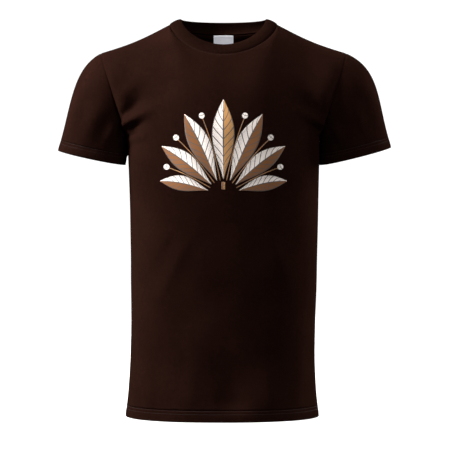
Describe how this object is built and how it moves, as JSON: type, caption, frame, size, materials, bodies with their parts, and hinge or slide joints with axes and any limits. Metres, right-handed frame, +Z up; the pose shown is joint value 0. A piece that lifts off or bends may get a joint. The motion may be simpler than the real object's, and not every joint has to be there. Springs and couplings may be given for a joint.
{
  "type": "t-shirt",
  "caption": "Short-sleeved crew-neck T-shirt in dark brown jersey with a leaf print on the chest, opened out as worn and hollow.",
  "frame": {"origin": "middle of the hem, at its lower edge and at the middle of the shirt's width and depth", "axes": "+Z up, -Y the way the chest faces, +X towards the wearer's left sleeve"},
  "size_m": [0.5978, 0.2522, 0.7123],
  "materials": {
    "jersey": "matt single jersey knit, dark brown",
    "rib": "matt 1x1 rib knit, dark brown",
    "tape": "matt jersey tape",
    "label": "white satin weave",
    "brown_ink": "matt screen print",
    "pale_ink": "matt screen print"
  },
  "bodies": {
    "root": {"front_panel": "jersey", "back_panel": "jersey", "bottom_hem": "jersey", "sleeve_left": "jersey", "sleeve_right": "jersey", "sleeve_hem_left": "jersey", "sleeve_hem_right": "jersey", "collar_rib": "rib", "neck_tape": "tape", "neck_label": "label", "print_leaf_1": "brown_ink", "print_leaf_2": "pale_ink", "print_leaf_3": "brown_ink", "print_leaf_4": "pale_ink", "print_leaf_5": "brown_ink", "print_leaf_6": "pale_ink", "print_leaf_7": "brown_ink", "print_stem": "brown_ink"}
  },
  "joints": []
}
